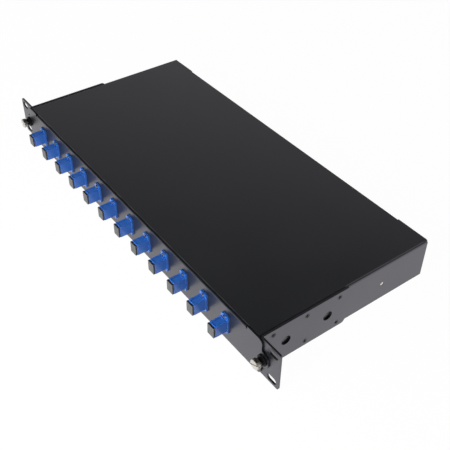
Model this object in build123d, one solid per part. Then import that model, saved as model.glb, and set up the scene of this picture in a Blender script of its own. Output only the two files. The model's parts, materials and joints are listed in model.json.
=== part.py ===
from build123d import *
import os

# Sliding fibre patch panel, one rack unit high, for twelve simplex adapters.
# Millimetres: X to the right seen from the front, Y towards the back, Z up.
# The origin is the centre of the four ear slots, on the plane of the rack rails.

# How far a cutter runs past what it cuts
over = 1.0

# Rack standard
rack_width = 482.6
slot_inset = 8.75
slot_spacing_x = rack_width - 2 * slot_inset
slot_spacing_z = 31.75
slot_length = 12.2
slot_width = 6.8

# Housing: a cover of side sheets and lid over a base of bottom, rear wall and low sides
ear_reach = 26.3
housing_width = rack_width - 2 * ear_reach
housing_height = 43.6
housing_depth = 201.0
cover_sheet = 1.2
cover_bend = 2.6
lid_sheet = 0.8
lid_inset = 1.5
lid_flange_width = 9.0
rear_notch_inset = 38.0
rear_notch_width = housing_width - 2 * rear_notch_inset
rear_notch_depth = 1.2
base_sheet = 1.2
base_bend = 1.8
base_side_height = 27.0
corner_relief = 1.6
fit_gap = 0.1

# Rack brackets, one L-shaped plate on each side of the housing
bracket_sheet = 2.0
bracket_height = 43.4
bracket_length = 96.0
bracket_bend = 2.4
bracket_inner_bend = 0.5
bracket_tail_radius = 4.0
ear_corner_radius = 2.0
bracket_hole_radius = 5.0
bracket_hole_rows = (25.5, 73.0)
bracket_screw_rows = (10.5, 48.0, 85.5)
bracket_screw_z = 16.0

# Countersunk screws in the housing sides
bracket_screw_head_radius = 2.8
bracket_screw_shank_radius = 1.5
bracket_screw_length = 6.6
side_screw_head_radius = 2.3
side_screw_shank_radius = 1.25
side_screw_rows = (8.0, 49.5, 143.0)
head_slope = 0.95
clinch_nut_radius = 2.4
clinch_nut_height = 1.8

# Runner on the housing and slide rail on the tray, both open channels
runner_height = 14.4
runner_depth = 8.0
runner_sheet = 1.2
runner_z = -3.0
runner_front_setback = 3.0
runner_rear_gap = 6.0
rail_sheet = 1.2
rail_side_gap = 0.3
rail_tip_gap = 0.4
rail_web_gap = 0.6
rail_rivet_inset = 20.0
rail_rivet_radius = 1.6
rail_rivet_head_radius = 2.8
rail_rivet_head_height = 0.8
stop_tab_height = 5.0
stop_tab_reach = 2.0
stop_gap = 0.3

# Tray of the drawer
tray_sheet = 1.2
tray_bend = 1.8
tray_floor_gap = 0.8
tray_side_height = 25.8
tray_front_flange_height = 7.8
tray_rear_lip_height = 9.0
tray_rear_gap = 8.0
tray_kept_inside = 40.9
tie_slot_length = 6.0
tie_slot_width = 2.5
tie_slot_spacing = 8.0
tie_slot_columns = (60.0, 120.0)
tie_slot_setback = 47.0

# Captive thumbscrews and their collars
thumb_offset = 7.0
thumb_x = housing_width / 2 + thumb_offset
thumb_head_radius = 5.2
thumb_head_length = 4.5
thumb_head_edge = 0.5
thumb_slot_width = 1.2
thumb_slot_depth = 1.3
thumb_slot_angle = 29.0
thumb_neck_radius = 2.4
thumb_shaft_radius = 2.0
thumb_reach = 9.35
thumb_shaft_end = 3.0
thumb_fit = 0.1
collar_flange_radius = 5.7
collar_flange_thickness = 1.6
collar_hub_radius = 3.9
collar_hub_length = 2.4
collar_spigot_radius = 3.5
ear_boss_radius = 3.0
ear_boss_length = 1.6

# Front panel of the drawer
panel_side_reach = 5.0
panel_width = housing_width + 2 * panel_side_reach
panel_height = 42.0
panel_sheet = 1.5
panel_gap = 0.3
panel_corner_radius = 5.0
lobe_reach = 6.8
lobe_tip = thumb_x + lobe_reach
lobe_height = 17.2
lobe_corner_radius = 6.6
lobe_root_radius = 1.6
panel_flange_inset = 21.5
panel_flange_width = panel_width - 2 * panel_flange_inset
panel_flange_drop = 1.0
panel_flange_depth = 12.0
panel_bend = 1.9
panel_relief = 1.5
panel_stud_radius = 1.5
panel_stud_count = 6
panel_stud_inset = 18.5
panel_stud_spacing = (panel_flange_width - 2 * panel_stud_inset) / (panel_stud_count - 1)
panel_stud_z = -15.0
panel_nut_across_flats = 5.5
panel_nut_height = 2.4
panel_stud_end = 0.6

# Adapters and what goes into them
adapter_count = 12
adapter_row_inset = 38.2
adapter_spacing = (housing_width - 2 * adapter_row_inset) / (adapter_count - 1)
adapter_row_shift = -6.1
adapter_width = 9.0
adapter_height = 13.0
adapter_length = 27.4
adapter_front_length = 14.7
adapter_edge = 0.5
adapter_flange_width = 10.0
adapter_flange_height = 21.2
adapter_flange_thickness = 2.0
adapter_flange_corner = 1.6
adapter_cutout_gap = 0.25
socket_width = 7.5
socket_height = 9.4
socket_web = 2.0
key_width = 2.7
key_depth = 0.9
top_recess_width = 5.4
top_recess_depth = 0.35
top_recess_margin = 1.4
hub_radius = 2.3
hub_length = 12.4
sleeve_radius = 1.6
sleeve_bore_radius = 1.25
sleeve_length = 11.4
sleeve_slit = 0.4
latch_arm_width = 3.2
latch_arm_thickness = 0.9
latch_arm_length = 7.5
latch_arm_offset = 3.6
latch_hook = 0.5
adapter_screw_spacing = 17.0
adapter_screw_radius = 1.0
adapter_screw_head_radius = 1.7
adapter_screw_head_height = 1.3
adapter_screw_end = 0.6
adapter_nut_across_flats = 4.0
adapter_nut_height = 1.6

# Dust caps
cap_width = 9.1
cap_height = 12.0
cap_thickness = 2.0
cap_edge = 0.25
cap_plug_depth = 6.0
cap_plug_gap = 0.15
cap_plug_wall = 0.9
cap_groove_count = 5
cap_side_groove_count = 7
cap_groove_width = 0.6
cap_groove_depth = 0.4

# Splice cassette and its lid
cassette_width = 150.0
cassette_depth = 96.0
cassette_height = 9.0
cassette_wall = 1.6
cassette_corner = 14.0
cassette_rear_gap = 22.6
cassette_lift = 3.0
cassette_lid_thickness = 1.4
cassette_lid_lip = 1.2
cassette_post_radius = 3.0
cassette_post_bore = 1.6
cassette_post_inset = 14.0
cassette_pin_stand = 1.0
fibre_drum_radius = 22.0
fibre_drum_spacing = 80.0
fibre_drum_wall = 1.6
splice_count = 12
splice_pitch = 2.6
splice_rib = 0.9
splice_holder_depth = 36.0
splice_rib_height = 4.0
cassette_mouth_width = 10.0

# Fibre spools beside the cassette
spool_side_gap = 75.0
spool_setback = 18.0
spool_radius = 30.0
spool_wall = 1.8
spool_height = 18.0
spool_rim = 6.0
spool_rim_thickness = 1.6
spool_gap_width = 16.0
spool_gap_count = 4

# Cable entries in the rear wall, and the clamps behind them
entry_radius = 10.2
entry_side_gap = 55.0
entry_spacing = 38.0
entry_z = -1.0
grommet_flange_radius = 12.6
grommet_flange_thickness = 2.4
grommet_bore_radius = 6.0
plug_flange_radius = 12.2
plug_flange_thickness = 1.6
plug_wall = 1.4
plug_depth = 5.0
clamp_rear_gap = 14.6
clamp_length = 12.0
clamp_inner_radius = 5.0
clamp_straight = 4.0
clamp_sheet = 1.2
clamp_foot = 9.0
clamp_screw_radius = 1.5
clamp_screw_head_radius = 2.7
clamp_screw_head_height = 1.8

# Planes worked out from the sizes above
rail_plane = 0.0
housing_front = rail_plane - bracket_sheet
housing_rear = housing_front + housing_depth
housing_side = housing_width / 2
housing_top = housing_height / 2
housing_bottom = -housing_top
cover_inside = housing_side - cover_sheet
base_inside = cover_inside - base_sheet
runner_inside = base_inside - runner_sheet
runner_tip = base_inside - runner_depth
rail_tip = runner_inside - rail_tip_gap
rail_web_outside = runner_tip - rail_web_gap
tray_side = rail_web_outside - rail_sheet
rear_wall_outside = housing_rear - rear_notch_depth
rear_wall_inside = rear_wall_outside - base_sheet
base_floor_top = housing_bottom + base_sheet
tray_bottom = base_floor_top + tray_floor_gap
tray_floor = tray_bottom + tray_sheet
panel_back = housing_front - panel_gap
panel_front = panel_back - panel_sheet
tray_front = panel_back
tray_rear = rear_wall_inside - tray_rear_gap
tray_travel = tray_rear - tray_front - tray_kept_inside
grommet_x = housing_side - entry_side_gap
plug_x = grommet_x - entry_spacing
clamp_y = tray_rear - clamp_rear_gap
cassette_y = tray_rear - cassette_rear_gap - cassette_depth / 2
spool_x = housing_side - spool_side_gap
spool_y = cassette_y - spool_setback
adapter_front = panel_front - adapter_front_length
adapter_rear = adapter_front + adapter_length
adapter_middle = (adapter_front + adapter_rear) / 2
flange_front = panel_front - adapter_flange_thickness


def block(x, y, z):
    """A box between two X, two Y and two Z values."""
    centre = Pos((x[0] + x[1]) / 2, (y[0] + y[1]) / 2, (z[0] + z[1]) / 2)
    return centre * Box(x[1] - x[0], y[1] - y[0], z[1] - z[0])


def rod_y(radius, y, x=0.0, z=0.0):
    """A cylinder along Y between two Y values."""
    return Pos(x, (y[0] + y[1]) / 2, z) * Rot(90, 0, 0) * Cylinder(radius, y[1] - y[0])


def rod_z(radius, z, x=0.0, y=0.0):
    """A cylinder along Z between two Z values."""
    return Pos(x, y, (z[0] + z[1]) / 2) * Cylinder(radius, z[1] - z[0])


def slot_y(length, width, y, x, z):
    """A round-ended slot cutter, long along X, that runs along Y."""
    middle = block((x - length / 2 + width / 2, x + length / 2 - width / 2), y,
                   (z - width / 2, z + width / 2))
    ends = [rod_y(width / 2, y, x + side * (length - width) / 2, z) for side in (-1, 1)]
    return middle + ends


def mirrored(shape):
    """The same shape on the other side of the middle plane."""
    return mirror(shape, about=Plane.YZ)


def save(name, shape):
    """Write one node; a list becomes a group of separate solids."""
    if isinstance(shape, (list, tuple)):
        shape = Compound(children=list(shape))
    export_step(shape, f"parts/{name}.step")


def countersunk_screw(head_radius, shank_radius, length):
    """A screw along +X whose flat head lies at X = 0 and whose tip is at -length."""
    head_depth = (head_radius - shank_radius) * head_slope
    head = Pos(-head_depth / 2, 0, 0) * Rot(0, 90, 0) * Cone(shank_radius, head_radius, head_depth)
    shank = Pos(-length / 2, 0, 0) * Rot(0, 90, 0) * Cylinder(shank_radius, length)
    return head + shank


def hex_nut_y(across_flats, bore_radius, y, x, z):
    """A hexagon nut with its bore along Y."""
    outline = Plane.XZ * RegularPolygon(across_flats / 2, 6, major_radius=False)
    nut = extrude(outline, amount=(y[1] - y[0]) / 2, both=True)
    return Pos(x, (y[0] + y[1]) / 2, z) * nut - rod_y(bore_radius, y, x, z)


def adapter_places():
    """X of every adapter, from left to right."""
    middle = (adapter_count - 1) / 2
    return [adapter_row_shift + (i - middle) * adapter_spacing for i in range(adapter_count)]


# Screws in the housing sides, drawn on the right side

def bracket_screw(y, z):
    screw = countersunk_screw(bracket_screw_head_radius, bracket_screw_shank_radius, bracket_screw_length)
    return Pos(housing_side + bracket_sheet, y, z) * screw


def side_screw(y):
    length = housing_side - runner_inside
    screw = countersunk_screw(side_screw_head_radius, side_screw_shank_radius, length)
    return Pos(housing_side, y, runner_z) * screw


def clinch_nut(y, z):
    seat = cover_inside if z > housing_bottom + base_side_height else base_inside
    nut = Rot(0, 90, 0) * Cylinder(clinch_nut_radius, clinch_nut_height)
    return Pos(seat - clinch_nut_height / 2, y, z) * nut - bracket_screw(y, z)


bracket_screw_places = [(y, z) for y in bracket_screw_rows for z in (bracket_screw_z, -bracket_screw_z)]
bracket_screws = [bracket_screw(y, z) for y, z in bracket_screw_places]
side_screws = [side_screw(y) for y in side_screw_rows]
clinch_nuts = [clinch_nut(y, z) for y, z in bracket_screw_places]
screw_cutters = bracket_screws + side_screws


def cut_both_sides(shape, cutters):
    """Cut the right-hand cutters and their mirror images out of a shape."""
    return shape - cutters - [mirrored(cutter) for cutter in cutters]


# Housing

def housing_cover():
    """Side sheets with flanges folded inwards, under a lid whose edges stand back a little."""
    span = (housing_front, housing_rear)
    seat = housing_top - lid_sheet
    shell = block((-housing_side, housing_side), span, (housing_bottom, seat))
    shell = fillet(shell.edges().filter_by(Axis.Y).group_by(Axis.Z)[-1], cover_bend)
    hollow = block((-cover_inside, cover_inside), (span[0] - over, span[1] + over),
                   (housing_bottom - over, seat - cover_sheet))
    hollow = fillet(hollow.edges().filter_by(Axis.Y).group_by(Axis.Z)[-1], cover_bend - cover_sheet)
    shell -= hollow
    flange_tip = cover_inside - lid_flange_width
    flange_rear = rear_wall_inside - corner_relief
    shell -= block((-flange_tip, flange_tip), (span[0] - over, flange_rear), (housing_bottom, seat + over))
    shell -= block((-cover_inside, cover_inside), (flange_rear, span[1] + over),
                   (housing_bottom, seat + over))
    lid_side = housing_side - lid_inset
    shell += block((-lid_side, lid_side), span, (seat, housing_top))
    half = rear_notch_width / 2
    shell -= block((-half, half), (housing_rear - rear_notch_depth, housing_rear + over),
                   (seat - over, housing_top + over))
    return cut_both_sides(shell, screw_cutters)


def housing_base():
    side = cover_inside
    top = housing_top - lid_sheet - fit_gap
    front = housing_front + fit_gap
    shell = block((-side, side), (front, rear_wall_outside), (housing_bottom, top))
    bottom_edges = shell.edges().group_by(Axis.Z)[0]
    bends = bottom_edges.filter_by(Axis.Y) + bottom_edges.filter_by(Axis.X).sort_by(Axis.Y)[-1:]
    shell = fillet(bends, base_bend)
    inner = base_inside
    hollow = block((-inner, inner), (front - over, rear_wall_inside), (base_floor_top, top + over))
    floor_edges = hollow.edges().group_by(Axis.Z)[0]
    bends = floor_edges.filter_by(Axis.Y) + floor_edges.filter_by(Axis.X).sort_by(Axis.Y)[-1:]
    shell -= fillet(bends, base_bend - base_sheet)
    side_top = housing_bottom + base_side_height
    for hand in (-1, 1):
        wall = sorted((hand * (inner - over), hand * (side + over)))
        shell -= block(wall, (front - over, rear_wall_outside + over), (side_top, top + over)) \
            - block(wall, (rear_wall_inside, rear_wall_outside + over), (side_top, top + over))
        relief = sorted((hand * (side - corner_relief - base_sheet), hand * (side + over)))
        shell -= block(relief, (rear_wall_inside - corner_relief, rear_wall_inside),
                       (housing_bottom - over, top + over))
    through = (rear_wall_inside - over, rear_wall_outside + over)
    for x in (-grommet_x, -plug_x, plug_x, grommet_x):
        shell -= rod_y(entry_radius, through, x, entry_z)
    wall_corners = shell.edges().filter_by(Axis.Y).group_by(Axis.Z)[-1]
    return cut_both_sides(fillet(wall_corners, cover_bend), screw_cutters)


# Brackets, drawn on the right side

def bracket():
    half = bracket_height / 2
    outer_side = housing_side + bracket_sheet
    tip = rack_width / 2
    plate = block((housing_side, outer_side), (housing_front, bracket_length), (-half, half))
    tail = plate.edges().filter_by(Axis.X).group_by(Axis.Y)[-1].sort_by(Axis.Z)[0]
    plate = fillet(tail, bracket_tail_radius)
    ear = block((housing_side, tip), (housing_front, rail_plane), (-half, half))
    ear = fillet(ear.edges().filter_by(Axis.Y).group_by(Axis.X)[-1], ear_corner_radius)
    shape = plate + ear
    upright = shape.edges().filter_by(Axis.Z)
    outer_corner = upright.group_by(Axis.X)[0].sort_by(Axis.Y)[0]
    shape = fillet(outer_corner, bracket_bend)
    upright = shape.edges().filter_by(Axis.Z)
    inner_corner = upright.sort_by_distance(Vector(outer_side, rail_plane, 0))[0]
    shape = fillet(inner_corner, bracket_inner_bend)
    through = (housing_front - over, rail_plane + over)
    for z in (-slot_spacing_z / 2, slot_spacing_z / 2):
        shape -= slot_y(slot_length, slot_width, through, slot_spacing_x / 2, z)
    for y in bracket_hole_rows:
        hole = Rot(0, 90, 0) * Cylinder(bracket_hole_radius, bracket_sheet)
        shape -= Pos(housing_side + bracket_sheet / 2, y, 0) * hole
    boss_rear = rail_plane + ear_boss_length
    shape += rod_y(ear_boss_radius, (housing_front + bracket_sheet / 2, boss_rear), thumb_x)
    shape -= rod_y(thumb_shaft_radius + thumb_fit, (housing_front - over, boss_rear + over), thumb_x)
    return shape - bracket_screws


# Runner and slide rail, drawn on the right side

runner_span = (housing_front + runner_front_setback, rear_wall_inside - runner_rear_gap)
rail_span = (tray_front + tray_sheet, tray_rear)
rail_rivet_rows = (rail_span[0] + rail_rivet_inset, sum(rail_span) / 2, rail_span[1] - rail_rivet_inset)
rail_height = runner_height - 2 * runner_sheet - 2 * rail_side_gap


def runner():
    z = (runner_z - runner_height / 2, runner_z + runner_height / 2)
    web = block((runner_inside, base_inside), runner_span, z)
    legs = [block((runner_tip, base_inside), runner_span, (low, low + runner_sheet))
            for low in (z[0], z[1] - runner_sheet)]
    tab_rear = rail_span[1] - rail_sheet - tray_travel - stop_gap
    tab = block((runner_inside - stop_tab_reach, runner_inside), (tab_rear - runner_sheet, tab_rear),
                (runner_z - stop_tab_height / 2, runner_z + stop_tab_height / 2))
    return web + legs + tab - side_screws


def slide_rail():
    z = (runner_z - rail_height / 2, runner_z + rail_height / 2)
    web = block((tray_side, rail_web_outside), rail_span, z)
    legs = [block((tray_side, rail_tip), rail_span, (low, low + rail_sheet))
            for low in (z[0], z[1] - rail_sheet)]
    end = block((tray_side, rail_tip), (rail_span[1] - rail_sheet, rail_span[1]), z)
    return web + legs + end - [rivet_shank(y) for y in rail_rivet_rows]


def rivet_shank(y):
    length = tray_sheet + rail_sheet
    shank = Rot(0, 90, 0) * Cylinder(rail_rivet_radius, length)
    return Pos(rail_web_outside - length / 2, y, runner_z) * shank


def rail_rivet(y):
    centre = tray_side - tray_sheet - rail_rivet_head_height / 2
    head = Rot(0, 90, 0) * Cylinder(rail_rivet_head_radius, rail_rivet_head_height)
    return Pos(centre, y, runner_z) * head + rivet_shank(y)


# Tray

def clamp_screw_places():
    reach = clamp_inner_radius + clamp_sheet + clamp_foot / 2
    return [(hand * grommet_x + side * reach) for hand in (-1, 1) for side in (-1, 1)]


def cassette_posts_places():
    x = cassette_width / 2 - cassette_post_inset
    y = cassette_depth / 2 - cassette_post_inset
    return [(i * x, cassette_y + j * y) for i in (-1, 1) for j in (-1, 1)]


def tie_slot_places():
    """Pairs of slots for cable ties, in front of the cassette and in line with the clamps."""
    rows = [row + side * tie_slot_spacing / 2
            for row in (tray_front + tie_slot_setback, clamp_y) for side in (-1, 1)]
    return [(side * x, y) for side in (-1, 1) for x in tie_slot_columns for y in rows]


def tray():
    top = tray_bottom + tray_side_height
    side = (-tray_side, tray_side)
    shell = block(side, (tray_front, tray_rear), (tray_bottom, top))
    shell = fillet(shell.edges().group_by(Axis.Z)[0], tray_bend)
    inner = tray_side - tray_sheet
    inner_span = (tray_front + tray_sheet, tray_rear - tray_sheet)
    hollow = block((-inner, inner), inner_span, (tray_floor, top + over))
    shell -= fillet(hollow.edges().group_by(Axis.Z)[0], tray_bend - tray_sheet)
    inside = (-inner + tray_bend, inner - tray_bend)
    shell -= block(inside, (tray_front - over, tray_front + tray_bend),
                   (tray_bottom + tray_front_flange_height, top + over))
    shell -= block(inside, (tray_rear - tray_bend, tray_rear + over),
                   (tray_bottom + tray_rear_lip_height, top + over))
    for x in panel_stud_places():
        shell -= rod_y(panel_stud_radius, (tray_front - over, tray_front + 2 * tray_sheet), x, panel_stud_z)
    for y in rail_rivet_rows:
        shell -= [rivet_shank(y), mirrored(rivet_shank(y))]
    through = (tray_bottom - over, tray_floor + over)
    for x in clamp_screw_places():
        shell -= rod_z(clamp_screw_radius, through, x, clamp_y)
    for x, y in tie_slot_places():
        shell -= block((x - tie_slot_length / 2, x + tie_slot_length / 2),
                       (y - tie_slot_width / 2, y + tie_slot_width / 2), through)
    return shell


# Front panel

def panel_stud_places():
    middle = (panel_stud_count - 1) / 2
    return [(i - middle) * panel_stud_spacing for i in range(panel_stud_count)]


def panel_outline():
    plate = RectangleRounded(panel_width, panel_height, panel_corner_radius)
    outline = plate + RectangleRounded(2 * lobe_tip, lobe_height, lobe_corner_radius)
    half_width, half_lobe = panel_width / 2, lobe_height / 2
    roots = [outline.vertices().sort_by_distance((x, z))[0]
             for x in (-half_width, half_width) for z in (-half_lobe, half_lobe)]
    return fillet(roots, lobe_root_radius)


def front_panel():
    plate = Pos(0, panel_back, 0) * extrude(Plane.XZ * panel_outline(), amount=panel_sheet)
    half = panel_flange_width / 2
    flange_top = panel_height / 2 - panel_flange_drop
    span = (-half, half)
    opened = (-half - panel_relief, half + panel_relief)
    past = panel_height
    plate -= block(opened, (panel_front - over, panel_back + over), (flange_top - panel_bend, past))
    fold = block(span, (panel_front, panel_front + panel_flange_depth), (0, flange_top))
    fold = fillet(fold.edges().filter_by(Axis.X).group_by(Axis.Z)[-1].sort_by(Axis.Y)[0], panel_bend)
    under = block((-half - over, half + over), (panel_back, past), (-over, flange_top - panel_sheet))
    under = fillet(under.edges().filter_by(Axis.X).group_by(Axis.Z)[-1].sort_by(Axis.Y)[0],
                   panel_bend - panel_sheet)
    plate += fold - under
    for x in adapter_places():
        w = adapter_width / 2 + adapter_cutout_gap
        h = adapter_height / 2 + adapter_cutout_gap
        plate -= block((x - w, x + w), (panel_front - over, panel_back + over), (-h, h))
        for z in adapter_screw_heights:
            plate -= rod_y(adapter_screw_radius, (panel_front - over, panel_back + over), x, z)
    for x in (-thumb_x, thumb_x):
        plate -= rod_y(collar_spigot_radius, (panel_front - over, panel_back + over), x)
    stud_end = tray_front + tray_sheet + panel_nut_height + panel_stud_end
    for x in panel_stud_places():
        plate += rod_y(panel_stud_radius, (panel_back - panel_sheet / 2, stud_end), x, panel_stud_z)
    return plate


def panel_nut(x):
    seat = tray_front + tray_sheet
    y = (seat, seat + panel_nut_height)
    return hex_nut_y(panel_nut_across_flats, panel_stud_radius, y, x, panel_stud_z)


# Adapters

adapter_screw_heights = (-adapter_screw_spacing / 2, adapter_screw_spacing / 2)


def adapter_at_origin():
    """One adapter with its middle at the origin and its ports along Y."""
    half = adapter_length / 2
    w, h = adapter_width / 2, adapter_height / 2
    body = block((-w, w), (-half, half), (-h, h))
    body = chamfer(body.faces().sort_by(Axis.Y)[0].edges(), adapter_edge)
    body = chamfer(body.faces().sort_by(Axis.Y)[-1].edges(), adapter_edge)
    flange_y = (flange_front - adapter_middle, panel_front - adapter_middle)
    fw, fh = adapter_flange_width / 2, adapter_flange_height / 2
    flange = block((-fw, fw), flange_y, (-fh, fh))
    flange = fillet(flange.edges().filter_by(Axis.Y), adapter_flange_corner)
    for z in adapter_screw_heights:
        flange -= rod_y(adapter_screw_radius, (flange_y[0] - over, flange_y[1] + over), 0, z)
    shape = body + flange
    sw, sh = socket_width / 2, socket_height / 2
    for y in ((-half - over, -socket_web / 2), (socket_web / 2, half + over)):
        shape -= block((-sw, sw), y, (-sh, sh))
        shape -= block((-key_width / 2, key_width / 2), y, (sh - over, sh + key_depth))
        outward = 1 if y[1] > half else -1
        root = outward * socket_web / 2
        arm_end = outward * latch_arm_length
        for z in (-latch_arm_offset, latch_arm_offset):
            thick = latch_arm_thickness / 2
            shape += block((-latch_arm_width / 2, latch_arm_width / 2), sorted((root, arm_end)),
                           (z - thick, z + thick))
            hook_y = sorted((arm_end, arm_end - outward * latch_arm_thickness))
            inward = -1 if z > 0 else 1
            hook_z = sorted((z + inward * thick, z + inward * (thick + latch_hook)))
            shape += block((-latch_arm_width / 2, latch_arm_width / 2), hook_y, hook_z)
    shape += rod_y(hub_radius, (-hub_length / 2, hub_length / 2))
    shape -= rod_y(sleeve_radius, (-hub_length / 2 - over, hub_length / 2 + over))
    recess_w = top_recess_width / 2
    recess_y = (-half + top_recess_margin, flange_y[0] - top_recess_margin)
    shape -= block((-recess_w, recess_w), recess_y, (h - top_recess_depth, h + over))
    return shape


def split_sleeve_at_origin():
    y = (-sleeve_length / 2, sleeve_length / 2)
    tube = rod_y(sleeve_radius, y) - rod_y(sleeve_bore_radius, y)
    return tube - block((-sleeve_slit / 2, sleeve_slit / 2), y, (0, sleeve_radius + over))


def groove_spans(count, length):
    """The spans of evenly spaced grip grooves along one side of a cap."""
    middles = [(i - (count - 1) / 2) * length / (count + 1) for i in range(count)]
    return [(middle - cap_groove_width / 2, middle + cap_groove_width / 2) for middle in middles]


def dust_cap_at_origin():
    """A cap for a port that faces -Y; its plate seats on the plane Y = 0."""
    w, h = cap_width / 2, cap_height / 2
    plate = block((-w, w), (-cap_thickness, 0), (-h, h))
    plate = chamfer(plate.faces().sort_by(Axis.Y)[0].edges(), cap_edge)
    past = (-cap_thickness - over, over)
    for side in (-1, 1):
        z = sorted((side * (h - cap_groove_depth), side * (h + over)))
        plate -= [block(x, past, z) for x in groove_spans(cap_groove_count, cap_width)]
        x = sorted((side * (w - cap_groove_depth), side * (w + over)))
        plate -= [block(x, past, z) for z in groove_spans(cap_side_groove_count, cap_height)]
    pw, ph = socket_width / 2 - cap_plug_gap, socket_height / 2 - cap_plug_gap
    plug = block((-pw, pw), (-cap_edge, cap_plug_depth), (-ph, ph))
    plug -= block((-pw + cap_plug_wall, pw - cap_plug_wall), (0, cap_plug_depth + over),
                  (-ph + cap_plug_wall, ph - cap_plug_wall))
    return plate + plug


def adapter_screw(x, z):
    end = panel_back + adapter_nut_height + adapter_screw_end
    head = rod_y(adapter_screw_head_radius, (flange_front - adapter_screw_head_height, flange_front), x, z)
    head = chamfer(head.edges().group_by(Axis.Y)[0], adapter_screw_head_height / 3)
    return head + rod_y(adapter_screw_radius, (flange_front, end), x, z)


def adapter_nut(x, z):
    y = (panel_back, panel_back + adapter_nut_height)
    return hex_nut_y(adapter_nut_across_flats, adapter_screw_radius, y, x, z)


# Thumbscrews, drawn on the right side

thumb_front = panel_front - thumb_reach


def thumbscrew(x):
    head_back = thumb_front + thumb_head_length
    head = rod_y(thumb_head_radius, (thumb_front, head_back), x)
    head = chamfer(head.edges().filter_by(GeomType.CIRCLE), thumb_head_edge)
    shape = head + rod_y(thumb_neck_radius, (head_back, panel_back), x)
    shape += rod_y(thumb_shaft_radius, (panel_back, rail_plane + thumb_shaft_end), x)
    half = thumb_slot_width / 2
    slot = block((-thumb_head_radius - over, thumb_head_radius + over),
                 (thumb_front - over, thumb_front + thumb_slot_depth), (-half, half))
    return shape - Pos(x, 0, 0) * Rot(0, -thumb_slot_angle, 0) * slot


def collar(x):
    flange_y = panel_front - collar_flange_thickness
    flange = rod_y(collar_flange_radius, (flange_y, panel_front), x)
    flange = fillet(flange.edges().group_by(Axis.Y)[0], collar_flange_thickness / 3)
    shape = flange + rod_y(collar_hub_radius, (flange_y - collar_hub_length, flange_y), x)
    shape += rod_y(collar_spigot_radius, (panel_front, panel_back), x)
    return shape - rod_y(thumb_neck_radius + thumb_fit, (thumb_front, panel_back + over), x)


# Splice cassette

cassette_bottom = tray_floor + cassette_lift
cassette_top = cassette_bottom + cassette_height


def cassette_slab(z, inset=0.0):
    """A slab with the cassette's rounded outline between two Z values."""
    width, depth = cassette_width - 2 * inset, cassette_depth - 2 * inset
    outline = RectangleRounded(width, depth, cassette_corner - inset)
    return Pos(0, cassette_y, z[0]) * extrude(outline, amount=z[1] - z[0])


def splice_cassette():
    floor = cassette_bottom + cassette_wall
    shape = cassette_slab((cassette_bottom, cassette_top)) \
        - cassette_slab((floor, cassette_top + over), cassette_wall)
    for side in (-1, 1):
        x = side * fibre_drum_spacing / 2
        top = cassette_top - cassette_lid_lip
        drum = rod_z(fibre_drum_radius, (floor, top), x, cassette_y)
        drum -= rod_z(fibre_drum_radius - fibre_drum_wall, (floor, top + over), x, cassette_y)
        towards_holder = sorted((x, -side * fibre_drum_radius))
        drum_y = (cassette_y - fibre_drum_radius, cassette_y + fibre_drum_radius)
        shape += drum - block(towards_holder, drum_y, (floor, top + over))
        mouth_x = side * (cassette_width / 2 - cassette_corner - cassette_mouth_width)
        mouth = sorted((mouth_x, mouth_x + side * cassette_mouth_width))
        front = cassette_y - cassette_depth / 2
        shape -= block(mouth, (front - over, front + cassette_wall + over), (floor, cassette_top + over))
    for i in range(splice_count + 1):
        x = (i - splice_count / 2) * splice_pitch
        rib_y = (cassette_y - splice_holder_depth / 2, cassette_y + splice_holder_depth / 2)
        shape += block((x - splice_rib / 2, x + splice_rib / 2), rib_y, (floor, floor + splice_rib_height))
    for x, y in cassette_posts_places():
        shape -= rod_z(cassette_post_bore, (cassette_bottom - over, floor + over), x, y)
    return shape


def cassette_lid():
    lid = cassette_slab((cassette_top, cassette_top + cassette_lid_thickness))
    lip_inset = cassette_wall + fit_gap
    lip = cassette_slab((cassette_top - cassette_lid_lip, cassette_top), lip_inset)
    lip -= cassette_slab((cassette_top - cassette_lid_lip, cassette_top), lip_inset + cassette_wall)
    return lid + lip


def cassette_post(x, y):
    post = rod_z(cassette_post_radius, (tray_floor, cassette_bottom), x, y)
    pin_top = cassette_bottom + cassette_wall + cassette_pin_stand
    return post + rod_z(cassette_post_bore, (cassette_bottom, pin_top), x, y)


# Fibre spools

def fibre_spool(x):
    top = tray_floor + spool_height
    drum = rod_z(spool_radius, (tray_floor, top), x, spool_y)
    drum += rod_z(spool_radius + spool_rim, (top - spool_rim_thickness, top), x, spool_y)
    drum -= rod_z(spool_radius - spool_wall, (tray_floor + spool_wall, top + over), x, spool_y)
    for i in range(spool_gap_count):
        gap = block((spool_radius - 2 * spool_wall, spool_radius + spool_rim + over),
                    (-spool_gap_width / 2, spool_gap_width / 2), (tray_floor + spool_wall, top + over))
        drum -= Pos(x, spool_y, 0) * Rot(0, 0, 360 / spool_gap_count * (i + 0.5)) * gap
    return drum


# Cable entries and clamps

def grommet(x):
    outside = rear_wall_outside + grommet_flange_thickness
    inside = rear_wall_inside - grommet_flange_thickness
    rear = rod_y(grommet_flange_radius, (rear_wall_outside, outside), x, entry_z)
    front = rod_y(grommet_flange_radius, (inside, rear_wall_inside), x, entry_z)
    rear = fillet(rear.edges().group_by(Axis.Y)[-1], grommet_flange_thickness / 2)
    front = fillet(front.edges().group_by(Axis.Y)[0], grommet_flange_thickness / 2)
    neck = rod_y(entry_radius, (rear_wall_inside, rear_wall_outside), x, entry_z)
    return rear + front + neck - rod_y(grommet_bore_radius, (inside - over, outside + over), x, entry_z)


def entry_plug(x):
    outside = rear_wall_outside + plug_flange_thickness
    shape = rod_y(plug_flange_radius, (rear_wall_outside, outside), x, entry_z)
    shape = fillet(shape.edges().group_by(Axis.Y)[-1], plug_flange_thickness / 2)
    shape += rod_y(entry_radius, (rear_wall_outside - plug_depth, rear_wall_outside), x, entry_z)
    cup = (rear_wall_outside - plug_depth - over, rear_wall_outside)
    return shape - rod_y(entry_radius - plug_wall, cup, x, entry_z)


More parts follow.
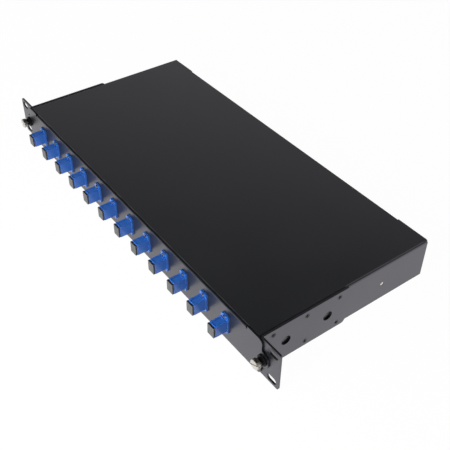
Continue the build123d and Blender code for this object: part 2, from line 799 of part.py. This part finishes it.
def cable_clamp(x):
    y = (clamp_y - clamp_length / 2, clamp_y + clamp_length / 2)
    outer = clamp_inner_radius + clamp_sheet
    shoulder = tray_floor + clamp_straight
    arch = rod_y(outer, y, x, shoulder) + block((x - outer, x + outer), y, (tray_floor, shoulder))
    foot = outer + clamp_foot
    feet = block((x - foot, x + foot), y, (tray_floor, tray_floor + clamp_sheet))
    through = (y[0] - over, y[1] + over)
    bore = rod_y(clamp_inner_radius, through, x, shoulder)
    bore += block((x - clamp_inner_radius, x + clamp_inner_radius), through, (tray_floor - over, shoulder))
    below = block((x - outer, x + outer), through, (shoulder - outer - over, tray_floor))
    shape = arch + feet - bore - below
    foot_through = (tray_floor - over, tray_floor + clamp_sheet + over)
    for place in clamp_screw_places():
        shape -= rod_z(clamp_screw_radius, foot_through, place, clamp_y)
    return shape


def clamp_screw(x):
    seat = tray_floor + clamp_sheet
    head = rod_z(clamp_screw_head_radius, (seat, seat + clamp_screw_head_height), x, clamp_y)
    head = chamfer(head.edges().group_by(Axis.Z)[-1], clamp_screw_head_height / 3)
    return head + rod_z(clamp_screw_radius, (tray_bottom, seat), x, clamp_y)


# Writing every node

os.makedirs("parts", exist_ok=True)

save("housing_cover", housing_cover())
save("housing_base", housing_base())
save("bracket_left", Rot(0, 180, 0) * bracket())
save("bracket_right", bracket())
save("bracket_screws", bracket_screws + [mirrored(screw) for screw in bracket_screws])
save("clinch_nuts", clinch_nuts + [mirrored(nut) for nut in clinch_nuts])
save("side_screws", side_screws + [mirrored(screw) for screw in side_screws])
save("runner_left", mirrored(runner()))
save("runner_right", runner())
save("slide_rail_left", mirrored(slide_rail()))
save("slide_rail_right", slide_rail())
rail_rivets = [rail_rivet(y) for y in rail_rivet_rows]
save("rail_rivets", rail_rivets + [mirrored(rivet) for rivet in rail_rivets])
save("tray", tray())
save("front_panel", front_panel())
save("panel_nuts", [panel_nut(x) for x in panel_stud_places()])

adapter = adapter_at_origin()
sleeve = split_sleeve_at_origin()
front_cap = dust_cap_at_origin()
rear_cap = Rot(0, 0, 180) * front_cap
for number, x in enumerate(adapter_places(), start=1):
    save(f"adapter_{number:02d}", Pos(x, adapter_middle, 0) * adapter)
    save(f"dust_cap_{number:02d}", Pos(x, adapter_front, 0) * front_cap)
save("split_sleeves", [Pos(x, adapter_middle, 0) * sleeve for x in adapter_places()])
save("rear_dust_caps", [Pos(x, adapter_rear, 0) * rear_cap for x in adapter_places()])
screw_places = [(x, z) for x in adapter_places() for z in adapter_screw_heights]
save("adapter_screws", [adapter_screw(x, z) for x, z in screw_places])
save("adapter_nuts", [adapter_nut(x, z) for x, z in screw_places])

save("thumbscrew_left", thumbscrew(-thumb_x))
save("thumbscrew_right", thumbscrew(thumb_x))
save("collar_left", collar(-thumb_x))
save("collar_right", collar(thumb_x))

save("splice_cassette", splice_cassette())
save("cassette_lid", cassette_lid())
save("cassette_posts", [cassette_post(x, y) for x, y in cassette_posts_places()])
save("fibre_spool_left", fibre_spool(-spool_x))
save("fibre_spool_right", fibre_spool(spool_x))

save("cable_grommets", [grommet(-grommet_x), grommet(grommet_x)])
save("entry_plugs", [entry_plug(-plug_x), entry_plug(plug_x)])
save("cable_clamps", [cable_clamp(-grommet_x), cable_clamp(grommet_x)])
save("clamp_screws", [clamp_screw(x) for x in clamp_screw_places()])
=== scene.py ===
import json
from math import cos, pi, radians, sin

import bmesh
import bpy
from mathutils import Matrix, Vector


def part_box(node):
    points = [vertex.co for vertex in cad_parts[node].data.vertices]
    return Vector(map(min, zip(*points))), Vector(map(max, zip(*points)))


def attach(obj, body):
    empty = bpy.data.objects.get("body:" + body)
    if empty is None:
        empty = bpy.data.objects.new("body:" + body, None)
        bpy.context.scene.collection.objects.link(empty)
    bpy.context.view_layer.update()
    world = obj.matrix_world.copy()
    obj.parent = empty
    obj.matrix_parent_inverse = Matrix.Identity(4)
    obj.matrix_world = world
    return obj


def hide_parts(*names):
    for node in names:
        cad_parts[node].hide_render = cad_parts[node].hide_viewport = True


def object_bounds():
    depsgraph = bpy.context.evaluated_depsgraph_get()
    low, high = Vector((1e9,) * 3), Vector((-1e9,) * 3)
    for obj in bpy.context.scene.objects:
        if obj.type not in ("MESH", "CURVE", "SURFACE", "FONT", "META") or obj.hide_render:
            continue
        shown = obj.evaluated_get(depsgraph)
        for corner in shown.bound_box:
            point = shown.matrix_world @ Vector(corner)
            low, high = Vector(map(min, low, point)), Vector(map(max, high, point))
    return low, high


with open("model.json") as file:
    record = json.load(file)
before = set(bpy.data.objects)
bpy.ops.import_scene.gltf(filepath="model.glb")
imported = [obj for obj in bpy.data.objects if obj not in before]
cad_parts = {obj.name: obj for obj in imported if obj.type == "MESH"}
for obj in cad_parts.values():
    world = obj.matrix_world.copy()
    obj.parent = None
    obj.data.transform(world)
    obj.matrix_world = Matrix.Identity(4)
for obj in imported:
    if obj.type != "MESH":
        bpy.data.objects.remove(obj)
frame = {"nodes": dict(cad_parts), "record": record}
nodes = frame["nodes"]
cad_low, cad_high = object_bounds()
bpy.ops.object.select_all(action="DESELECT")

scene = bpy.context.scene
scene.view_settings.view_transform = "Standard"
mm = 0.001

# Camera, at the photograph's place

azimuth, elevation, roll = radians(53.258), radians(40.681), radians(0.713)
camera_place = (0.52192, -0.26840, 0.48954)
focal_length = 59.985
forward = Vector((-sin(azimuth) * cos(elevation), cos(azimuth) * cos(elevation), -sin(elevation)))
level_right = forward.cross(Vector((0, 0, 1))).normalized()
level_up = level_right.cross(forward)
right = cos(roll) * level_right + sin(roll) * level_up
up = -sin(roll) * level_right + cos(roll) * level_up
bpy.ops.object.camera_add()
camera = bpy.context.object
camera.name = "camera"
camera.data.sensor_width = 36.0
camera.data.lens = focal_length
camera.data.clip_start, camera.data.clip_end = 0.01, 50.0
turn = Matrix((right, up, -forward)).transposed().to_4x4()
camera.matrix_world = Matrix.Translation(camera_place) @ turn
scene.camera = camera


# Materials

class Signal:
    """One socket's value in a material; Python's operators add the maths nodes."""

    def __init__(self, finish, socket):
        self.finish, self.socket = finish, socket

    def maths(self, operation, *values):
        return self.finish.node("ShaderNodeMath", {"operation": operation}, dict(enumerate(values)))

    def __add__(self, other):
        return self.maths("ADD", self, other)

    def __radd__(self, other):
        return self.maths("ADD", other, self)

    def __sub__(self, other):
        return self.maths("SUBTRACT", self, other)

    def __rsub__(self, other):
        return self.maths("SUBTRACT", other, self)

    def __mul__(self, other):
        return self.maths("MULTIPLY", self, other)

    def __rmul__(self, other):
        return self.maths("MULTIPLY", other, self)


class Finish:
    """A surface's material, a light's world or a floor, built from nodes."""

    def __init__(self, name, owner=None):
        self.owner = owner or bpy.data.materials.new(name)
        self.owner.use_nodes = True
        self.tree = self.owner.node_tree
        self.tree.nodes.clear()

    def node(self, kind, settings=None, values=None, output=0):
        made = self.tree.nodes.new(kind)
        for key, value in (settings or {}).items():
            if key == "stops":
                ramp = made.color_ramp
                while len(ramp.elements) < len(value):
                    ramp.elements.new(0.5)
                for element, (place, shade) in zip(ramp.elements, value):
                    element.position, element.color = place, colour(shade)
            else:
                setattr(made, key, value)
        for key, value in (values or {}).items():
            self.feed(made.inputs[key], value)
        return Signal(self, made.outputs[output]) if made.outputs else None

    def feed(self, socket, value):
        if isinstance(value, Signal):
            self.tree.links.new(value.socket, socket)
        elif socket.type == "RGBA":
            socket.default_value = colour(value)
        else:
            socket.default_value = value

    def noise(self, scale, detail=2.0, roughness=0.5, stretch=None):
        """Cloudy noise on the piece's own coordinates, with its scale per metre."""
        where = self.node("ShaderNodeTexCoord", output="Object")
        if stretch:
            where = self.node("ShaderNodeMapping", values={"Vector": where, "Scale": stretch})
        return self.node("ShaderNodeTexNoise", values={
            "Vector": where, "Scale": scale, "Detail": detail, "Roughness": roughness})

    def tinted(self, base, tone):
        """A colour times a varying tone."""
        return self.node("ShaderNodeMix", {"data_type": "RGBA", "blend_type": "MULTIPLY"},
                         {0: 1.0, 6: base, 7: tone}, output=2)

    def ramp(self, value, low, high, start=0.0, end=1.0):
        """Take a value's range low to high onto start to end, with no overshoot."""
        return self.node("ShaderNodeMapRange", values={
            "Value": value, "From Min": low, "From Max": high, "To Min": start, "To Max": end})

    def bump(self, height, strength, distance):
        return self.node("ShaderNodeBump", values={
            "Height": height, "Strength": strength, "Distance": distance})

    def surface(self, **values):
        """The main shader; a socket's name is written with underscores for spaces."""
        shader = self.node("ShaderNodeBsdfPrincipled", values={
            key.replace("_", " "): value for key, value in values.items()})
        self.show(shader)
        return self.owner

    def show(self, shader):
        self.node("ShaderNodeOutputMaterial", values={"Surface": shader})


def colour(value):
    """Four numbers for a colour socket, from one grey or three numbers."""
    if isinstance(value, (int, float)):
        value = (value, value, value)
    return (*value, 1.0) if len(value) == 3 else tuple(value)


def powder_coat(name):
    """Fine-textured satin powder coat on sheet steel, near black."""
    black, rough, spread = (0.0065, 0.0078, 0.0085), 0.36, 0.03
    coat = Finish(name)
    grain = coat.noise(1500.0, detail=3.0, roughness=0.6)
    cloud = coat.noise(14.0)
    return coat.surface(
        Base_Color=coat.tinted(black, coat.ramp(cloud, 0.3, 0.7, 0.94, 1.06)),
        IOR=1.97, Specular_Tint=(0.9, 0.86, 1.0),
        Roughness=coat.ramp(cloud, 0.3, 0.7, rough - spread, rough + spread) + (grain - 0.5) * 0.06,
        Normal=coat.bump(grain, strength=0.12, distance=0.00006))


def moulded(name, base, rough, depth=0.00001, index=1.5, level=0.5):
    """Injection-moulded plastic or rubber with a fine grain."""
    plastic = Finish(name)
    grain = plastic.noise(900.0)
    flow = plastic.noise(120.0, detail=1.0)
    return plastic.surface(
        Base_Color=plastic.tinted(base, plastic.ramp(flow, 0.3, 0.7, 0.96, 1.04)),
        IOR=index, Specular_IOR_Level=level,
        Roughness=plastic.ramp(flow, 0.3, 0.7, rough - 0.03, rough + 0.04),
        Normal=plastic.bump(grain, strength=0.1, distance=depth))


def plated(name, base, rough, stretch=None):
    """Plated or bare metal with fine drawing marks."""
    metal = Finish(name)
    marks = metal.noise(1400.0, stretch=stretch)
    stain = metal.noise(160.0)
    return metal.surface(
        Base_Color=metal.tinted(base, metal.ramp(stain, 0.3, 0.75, 0.86, 1.04)), Metallic=1.0,
        Roughness=metal.ramp(marks, 0.3, 0.7, rough - 0.06, rough + 0.08),
        Normal=metal.bump(marks, strength=0.15, distance=0.00001))


inside_black = (0.022, 0.022, 0.024)
finishes = {
    "housing_coat": powder_coat("housing powder coat"),
    "drawer_coat": powder_coat("drawer powder coat"),
    "adapter_blue": moulded("adapter blue plastic", (0.023, 0.108, 0.41), 0.22, index=1.6),
    "cap_grey": moulded("dust cap soft plastic", (0.018, 0.0172, 0.019), 0.36, index=2.15),
    "sleeve_bronze": plated("sleeve bronze", (0.62, 0.40, 0.20), 0.28),
    "screw_zinc": plated("yellow zinc plate", (0.9, 0.87, 0.76), 0.4),
    "screw_black": plated("black oxide", (0.13, 0.13, 0.135), 0.38),
    "thumbscrew_nickel": plated("turned nickel", (0.78, 0.75, 0.69), 0.36),
    "collar_black": moulded("collar black plastic", (0.005, 0.005, 0.005), 0.6, level=0.2),
    "slide_steel": plated(
        "drawn zinc-plated steel", (0.58, 0.58, 0.60), 0.36, stretch=(1, 0.06, 1)),
    "cassette_plastic": moulded("cassette black plastic", inside_black, 0.42),
    "spool_plastic": moulded("spool black plastic", inside_black, 0.42),
    "clamp_nylon": moulded("natural nylon", (0.62, 0.60, 0.54), 0.45),
    "grommet_rubber": moulded("grommet rubber", (0.014, 0.014, 0.014), 0.62, depth=0.00005),
}
slot_of = {part["node"]: part["material_slot"] for part in frame["record"]["subparts"]}
bodies = frame["record"]["behaviour"]["bodies"]
body_of = {node: body for body, held in bodies.items() for node in held}
for node, slot in slot_of.items():
    for held in nodes[node].material_slots:
        held.material = finishes[slot]


# Modelling helpers

sharp_angle = radians(32)


def alone(piece):
    """Select one piece and make it the active one."""
    bpy.ops.object.select_all(action="DESELECT")
    piece.select_set(True)
    bpy.context.view_layer.objects.active = piece


def newest(name):
    """Name the primitive that was just added, and put its place and turn into its mesh."""
    piece = bpy.context.object
    piece.name = piece.data.name = name
    bpy.ops.object.transform_apply(location=True, rotation=True, scale=True)
    return piece


def slab(name, x, y, z):
    """A cuboid between two X, two Y and two Z values in millimetres."""
    middle = [(low + high) / 2 * mm for low, high in (x, y, z)]
    size = [(high - low) * mm for low, high in (x, y, z)]
    bpy.ops.mesh.primitive_cube_add(size=1, location=middle)
    bpy.context.object.scale = size
    return newest(name)


def bar(name, radius, y, sides=32, tip=None, x=0.0, z=0.0):
    """A round bar along Y between two Y values, or a cone whose front radius is tip."""
    bpy.ops.mesh.primitive_cone_add(
        vertices=sides, radius1=(radius if tip is None else tip) * mm, radius2=radius * mm,
        depth=(y[1] - y[0]) * mm, location=(x * mm, (y[0] + y[1]) / 2 * mm, z * mm),
        rotation=(-pi / 2, 0, 0))
    return newest(name)


def start_edit(piece, kind="FACE"):
    """Go into edit mode with nothing selected, and hand over the mesh."""
    alone(piece)
    bpy.ops.object.mode_set(mode="EDIT")
    bpy.ops.mesh.select_mode(type=kind)
    bpy.ops.mesh.select_all(action="DESELECT")
    return bmesh.from_edit_mesh(piece.data)


def pick_faces(piece, wanted):
    """Go into edit mode with only the faces selected whose middle and normal are wanted."""
    mesh = start_edit(piece)
    for face in mesh.faces:
        face.select_set(bool(wanted(face.calc_center_median() / mm, face.normal)))
    bmesh.update_edit_mesh(piece.data)


def pick_edges(piece, wanted):
    """Go into edit mode with only the edges selected whose middle and direction are wanted."""
    mesh = start_edit(piece, "EDGE")
    for edge in mesh.edges:
        first, second = (corner.co for corner in edge.verts)
        edge.select_set(bool(wanted((first + second) / 2 / mm, (second - first).normalized())))
    bmesh.update_edit_mesh(piece.data)


def end_edit():
    bpy.ops.object.mode_set(mode="OBJECT")


def finish_with(piece, kind, **settings):
    """Add a modifier, set it and apply it."""
    alone(piece)
    modifier = piece.modifiers.new(kind.lower(), kind)
    for key, value in settings.items():
        setattr(modifier, key, value)
    bpy.ops.object.modifier_apply(modifier=modifier.name)


def cut(piece, cutter):
    """Take one piece's shape out of another, and remove it."""
    finish_with(piece, "BOOLEAN", operation="DIFFERENCE", object=cutter, solver="EXACT")
    bpy.data.objects.remove(cutter)


def join(pieces, name):
    """Make several pieces one piece."""
    bpy.ops.object.select_all(action="DESELECT")
    for piece in pieces:
        piece.select_set(True)
    bpy.context.view_layer.objects.active = pieces[0]
    bpy.ops.object.join()
    joined = bpy.context.object
    joined.name = joined.data.name = name
    return joined


def smooth(piece):
    """Smooth shading, but for the sharp edges."""
    alone(piece)
    bpy.ops.object.shade_smooth_by_angle(angle=sharp_angle)


def soften(piece, width, segments=2):
    """Round every sharp edge of a piece a little."""
    finish_with(piece, "BEVEL", width=width * mm, segments=segments, limit_method="ANGLE",
                angle_limit=sharp_angle, use_clamp_overlap=True)
    smooth(piece)
    finish_with(piece, "WEIGHTED_NORMAL", keep_sharp=True)


def copied(model, name, move=(0, 0, 0), turn=0.0):
    """A copy with its own mesh, turned about Z in degrees and then moved in millimetres."""
    twin = bpy.data.objects.new(name, model.data.copy())
    twin.data.name = name
    scene.collection.objects.link(twin)
    turned = Matrix.Rotation(radians(turn), 4, "Z")
    twin.data.transform(Matrix.Translation(Vector(move) * mm) @ turned)
    return twin


def stand_in(piece, node):
    """A finished piece takes a CAD node's place, body and finish."""
    slot = slot_of[node]
    piece.data.materials.clear()
    piece.data.materials.append(finishes[slot])
    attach(piece, body_of[node])
    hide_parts(node)


def merged(node, name):
    """A copy of a CAD node with its mesh merged into whole faces."""
    piece = bpy.data.objects.new(name, nodes[node].data.copy())
    piece.data.name = name
    scene.collection.objects.link(piece)
    alone(piece)
    bpy.ops.object.mode_set(mode="EDIT")
    bpy.ops.mesh.select_all(action="SELECT")
    bpy.ops.mesh.remove_doubles(threshold=0.000002)
    bpy.ops.mesh.dissolve_limited(angle_limit=radians(0.5))
    end_edit()
    return piece


def dressed(node, name, width, segments=2):
    """A merged copy of a CAD node, with its sharp edges rounded."""
    piece = merged(node, name)
    soften(piece, width, segments)
    stand_in(piece, node)
    return piece


def centre(node):
    """The middle of a CAD node in millimetres."""
    low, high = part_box(node)
    return (low + high) / 2 / mm


# Sheet metal, with the fine radius that the coating gives its edges, in millimetres

for node, name, width in (
        ("front_panel", "drawer_front", 0.18), ("bracket_left", "ear_plate_left", 0.25),
        ("bracket_right", "ear_plate_right", 0.25), ("housing_base", "base_sheet", 0.15),
        ("tray", "tray_sheet", 0.15)):
    dressed(node, name, width)


def cover_sheet():
    """The housing's cover: rounder lid sides, and a weld that closes each rear corner."""
    lid_thickness, lid_radius, coat_radius = 0.8, 0.45, 0.18
    weld_radius, weld_length, weld_inset, weld_drop, rear_gap = 0.42, 2.8, 1.2, 0.15, 0.1
    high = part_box("housing_cover")[1] / mm
    cover = merged("housing_cover", "cover_sheet")
    pick_edges(cover, lambda middle, along: middle.z > high.z - 0.01 and abs(along.y) > 0.9
               and abs(middle.x) > high.x - 2)
    bpy.ops.mesh.bevel(offset=lid_radius * mm, segments=3)
    end_edit()
    reach = (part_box("housing_base")[1].y / mm - weld_length, high.y - rear_gap)
    height = high.z - lid_thickness - weld_drop
    welds = [bar("weld", weld_radius, reach, 16, x=hand * (high.x - weld_inset), z=height)
             for hand in (-1, 1)]
    cover = join([cover, *welds], "cover_sheet")
    soften(cover, coat_radius)
    stand_in(cover, "housing_cover")


cover_sheet()


# Adapters, with moulded edges

ports = [f"{number:02d}" for number in range(1, 13)]
for port in ports:
    dressed(f"adapter_{port}", f"adapter_{port}_body", 0.3, 3)


# Dust caps: a flat plate with grip grooves behind its face, over a hollow plug

def dust_cap():
    """A cap whose plate ends at Y = 0, where its adapter starts, and whose plug points along +Y."""
    groove_width, groove_depth, face, outside = 1.0, 0.6, 0.35, 1
    side_inset, end_inset, plug_wall = 0.95, 1.45, 0.9
    plug_start, plug_end, plug_hollow = -0.3, 6, 5.8
    low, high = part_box("dust_cap_01")
    width, height = (high.x - low.x) / mm, (high.z - low.z) / mm
    front = (low.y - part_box("adapter_01")[0].y) / mm
    plate = slab("cap_plate", (-width / 2, width / 2), (front, 0), (-height / 2, height / 2))
    grooves = []
    for count, length, across, level in ((5, width, height, True), (7, height, width, False)):
        for step in range(count):
            middle = (step - (count - 1) / 2) * length / (count + 1)
            span = (middle - groove_width / 2, middle + groove_width / 2)
            for side in (-1, 1):
                edge = sorted((side * (across / 2 - groove_depth), side * (across / 2 + outside)))
                x, z = (span, edge) if level else (edge, span)
                grooves.append(slab("groove", x, (front + face, outside), z))
    cut(plate, join(grooves, "grooves"))
    soften(plate, 0.08)
    plug_x, plug_z = width / 2 - side_inset, height / 2 - end_inset
    plug = slab("cap_plug", (-plug_x, plug_x), (plug_start, plug_end), (-plug_z, plug_z))
    pick_faces(plug, lambda middle, normal: normal.y > 0.9)
    bpy.ops.mesh.inset(thickness=plug_wall * mm)
    bpy.ops.mesh.extrude_region_move(TRANSFORM_OT_translate={"value": (0, -plug_hollow * mm, 0)})
    end_edit()
    soften(plug, 0.1)
    return join([plate, plug], "cap_model")


cap_model = dust_cap()
for port in ports:
    node = f"dust_cap_{port}"
    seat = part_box(f"adapter_{port}")[0].y / mm
    cap = copied(cap_model, f"{node}_ribbed", (centre(node).x, seat, 0))
    stand_in(cap, node)
rear_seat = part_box("adapter_01")[1].y / mm
rear_caps = [copied(cap_model, "rear_cap", (centre(f"dust_cap_{port}").x, rear_seat, 0), 180.0)
             for port in ports]
stand_in(join(rear_caps, "rear_caps_ribbed"), "rear_dust_caps")
bpy.data.objects.remove(cap_model)


# Small screws, with cross recesses or round ones

def cross_recess(width, length, depth, front):
    """Two crossed bars that taper inwards, from a front plane."""
    reach, taper = (front - 0.2, front + depth), 0.6
    along, across = (-length / 2, length / 2), (-width / 2, width / 2)
    bars = [slab("recess", along, reach, across), slab("recess", across, reach, along)]
    for each in bars:
        pick_faces(each, lambda middle, normal: normal.y > 0.9)
        bpy.ops.transform.resize(value=(taper, 1, taper))
        end_edit()
    return bars


def pan_screw(head, height, shank, length):
    """A pan-head screw that points along +Y from a seat at Y = 0."""
    screw = bar("pan_head", head, (-height, 0), 28)
    pick_edges(screw, lambda middle, along: middle.y < -height + 0.01)
    bpy.ops.mesh.bevel(offset=height * 0.38 * mm, segments=4)
    end_edit()
    for each in cross_recess(width=0.4, length=head * 0.9, depth=height * 0.4, front=-height):
        cut(screw, each)
    stem = bar("stem", shank, (-0.05, length), 20)
    screw = join([screw, stem], "pan_screw")
    smooth(screw)
    return screw


def flat_screw(head, shank, depth, length, recesses):
    """A countersunk screw that points along +Y, with its face at a small depth under Y = 0."""
    screw = bar("flat_head", shank, (depth, depth + head - shank), 32, tip=head)
    for each in recesses:
        cut(screw, each)
    stem = bar("stem", shank, (depth + (head - shank) * 0.95, length), 20)
    screw = join([screw, stem], "flat_screw")
    smooth(screw)
    return screw


def whole_set(model, node, name, places, turns):
    """Copies of one fastener at every place of a node's group, joined as one piece."""
    copies = [copied(model, "fastener", place, turn) for place, turn in zip(places, turns)]
    stand_in(join(copies, name), node)
    bpy.data.objects.remove(model)


def on_both_sides(side, rows):
    """Places and turns for the screws in the left and right sides, from rows of Y and Z."""
    places = [(hand * side, y, z) for hand in (-1, 1) for y, z in rows]
    turns = [90.0 * hand for hand in (-1, 1) for _ in rows]
    return places, turns


pan_head_radius, pan_head_height = 1.7, 1.3
low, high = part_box("adapter_screws")
seat, reach = low.y / mm + pan_head_height, high.z / mm - pan_head_radius
places = [(centre(f"adapter_{port}").x, seat, z) for port in ports for z in (-reach, reach)]
pan_head = pan_screw(pan_head_radius, pan_head_height, shank=1.0, length=5.7)
whole_set(pan_head, "adapter_screws", "adapter_pan_screws", places, [0.0] * len(places))

bracket_sheet, cross_head_depth = 2.0, 0.4
bracket_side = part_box("bracket_right")[0].x / mm + bracket_sheet
rows = [(y, z) for y in (10.5, 48.0, 85.5) for z in (-16.0, 16.0)]
cross = cross_recess(width=1.3, length=3.6, depth=1.6, front=cross_head_depth)
cross_head = flat_screw(head=2.2, shank=1.45, depth=cross_head_depth, length=6.6, recesses=cross)
whole_set(cross_head, "bracket_screws", "bracket_flat_screws", *on_both_sides(bracket_side, rows))

housing_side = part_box("housing_cover")[1].x / mm
rows = [(y, -3.0) for y in (8.0, 49.5, 143.0)]
socket = bar("socket", 0.5, (0.1, 1.2), 20)
socket_head = flat_screw(head=1.8, shank=1.2, depth=0.45, length=3.6, recesses=[socket])
whole_set(socket_head, "side_screws", "runner_flat_screws", *on_both_sides(housing_side, rows))


# Thumbscrews: a knurled head with a slot, on a shouldered shaft

def thumbscrew():
    """A thumbscrew that points along +Y from the panel's front at Y = 0."""
    head_sides, head_radius, head_front, head_back = 72, 4.95, -9.35, -4.85
    tooth_height, slot_floor, slot_turn = 0.25, -8.05, -29.0
    head = bar("knurled_head", head_radius, (head_front, head_back), head_sides)
    pick_edges(head, lambda middle, along: abs(along.y) < 0.1)
    bpy.ops.mesh.bevel(offset=0.45 * mm, segments=2)
    end_edit()
    step = 2 * pi / head_sides

    def on_tooth(middle, normal):
        if abs(normal.y) > 0.1:
            return False
        angle = Vector((middle.x, middle.z)).angle_signed(Vector((1, 0)))
        return int(round(angle / step + head_sides + 0.5)) % 2 == 0

    pick_faces(head, on_tooth)
    bpy.ops.mesh.extrude_region_shrink_fatten(
        TRANSFORM_OT_shrink_fatten={"value": tooth_height * mm})
    bpy.ops.transform.resize(value=(0.995, 0.93, 0.995))
    end_edit()
    pick_faces(head, lambda middle, normal: normal.y < -0.9 and abs(middle.x) < 0.1)
    bpy.ops.mesh.inset(thickness=0.35 * mm)
    bpy.ops.transform.translate(value=(0, 0.08 * mm, 0))
    end_edit()
    slot = slab("slot", (-6, 6), (-10, slot_floor), (-0.6, 0.6))
    slot.data.transform(Matrix.Rotation(radians(slot_turn), 4, "Y"))
    cut(head, slot)
    neck = bar("neck", 2.4, (-4.9, 1.5), 32)
    shaft = bar("shaft", 2.0, (1.4, 6.8), 32)
    pick_edges(shaft, lambda middle, along: middle.y > 6.7)
    bpy.ops.mesh.bevel(offset=0.4 * mm, segments=1)
    end_edit()
    screw = join([head, neck, shaft], "thumbscrew_model")
    smooth(screw)
    return screw


thumb_model = thumbscrew()
panel_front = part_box("front_panel")[0].y / mm
for hand in ("left", "right"):
    node = f"thumbscrew_{hand}"
    knurled = copied(thumb_model, f"{node}_knurled", (centre(node).x, panel_front, 0))
    stand_in(knurled, node)
    dressed(f"collar_{hand}", f"collar_{hand}_turned", 0.2, 3)
bpy.data.objects.remove(thumb_model)


# Slides, fibre management and cable entries

for node, name, width in (
        ("runner_left", "runner_left_channel", 0.12),
        ("runner_right", "runner_right_channel", 0.12),
        ("slide_rail_left", "rail_left_channel", 0.12),
        ("slide_rail_right", "rail_right_channel", 0.12),
        ("rail_rivets", "rail_rivet_heads", 0.2), ("splice_cassette", "cassette_shell", 0.2),
        ("cassette_lid", "cassette_cover", 0.3), ("fibre_spool_left", "spool_left_rim", 0.3),
        ("fibre_spool_right", "spool_right_rim", 0.3), ("cable_clamps", "clamp_saddles", 0.2),
        ("clamp_screws", "clamp_pan_screws", 0.15), ("cable_grommets", "grommet_rings", 0.3),
        ("entry_plugs", "blanking_plugs", 0.25)):
    dressed(node, name, width)


# Floor, world and lamps

bpy.ops.mesh.primitive_plane_add(size=30.0, location=(0, 0, cad_low.z))
floor = bpy.context.object
floor.name = "floor"
paper = Finish("pale floor")
whiteness = 0.98
seen = paper.node("ShaderNodeLightPath", output="Is Camera Ray")
mirrored_ray = paper.node("ShaderNodeLightPath", output="Is Glossy Ray")
through_ray = paper.node("ShaderNodeLightPath", output="Is Transmission Ray")
lit = paper.node("ShaderNodeBsdfDiffuse", values={"Color": 0.95})
white = paper.node("ShaderNodeEmission", values={"Color": 1.0, "Strength": 1.0})
paper.show(paper.node("ShaderNodeMixShader", values={
    0: (seen + mirrored_ray + through_ray) * whiteness, 1: lit, 2: white}))
floor.data.materials.append(paper.owner)

sky = Finish("sky", owner=bpy.data.worlds.new("studio"))
scene.world = sky.owner
direction = sky.node("ShaderNodeTexCoord", output="Generated")
height = sky.node("ShaderNodeSeparateXYZ", values={0: direction}, output=2)
depth = sky.node("ShaderNodeSeparateXYZ", values={0: direction}, output=1)
camera_ray = sky.node("ShaderNodeLightPath", output="Is Camera Ray")
glossy_ray = sky.node("ShaderNodeLightPath", output="Is Glossy Ray")
clear_ray = sky.node("ShaderNodeLightPath", output="Is Transmission Ray")
above = sky.node("ShaderNodeValToRGB", {
    "stops": [(0.1, 1.0), (0.3, 0.45), (0.45, 0.24), (0.61, 0.2), (0.7, 0.0)]}, {"Fac": height})
reflected = above * sky.ramp(depth, -0.4, 0.65, start=0.04, end=1.42)
scattered = sky.ramp(height, 0.1, 0.8, start=0.45, end=0.1)
strength = (camera_ray + (glossy_ray + clear_ray) * reflected
            + (1.0 - camera_ray - glossy_ray - clear_ray) * scattered)
backdrop = sky.node("ShaderNodeBackground", values={"Color": 1.0, "Strength": strength})
sky.node("ShaderNodeOutputWorld", values={"Surface": backdrop})


def soft_lamp(name, place, target, size, power):
    """A square lamp that faces its target, with its size in metres and its power in watts."""
    bpy.ops.object.light_add(type="AREA", location=place)
    lamp = bpy.context.object
    lamp.name = name
    lamp.rotation_mode = "QUATERNION"
    lamp.rotation_quaternion = (Vector(target) - Vector(place)).to_track_quat("-Z", "Y")
    lamp.data.shape = "SQUARE"
    lamp.data.size = size
    lamp.data.energy = power
    return lamp


panel_middle, housing_middle = (0, -0.02, 0), (0, 0.1, 0)
front_lamp = soft_lamp("front lamp", (0.26, -0.6, 0.28), panel_middle, size=0.4, power=7.0)
front_lamp.visible_glossy = False
soft_lamp("side lamp", (1.7, 0.1, 1.2), housing_middle, size=1.2, power=1.0)
left_lamp = soft_lamp("left lamp", (-1.2, -0.9, 0.8), housing_middle, size=1.0, power=14.0)
left_lamp.visible_glossy = False
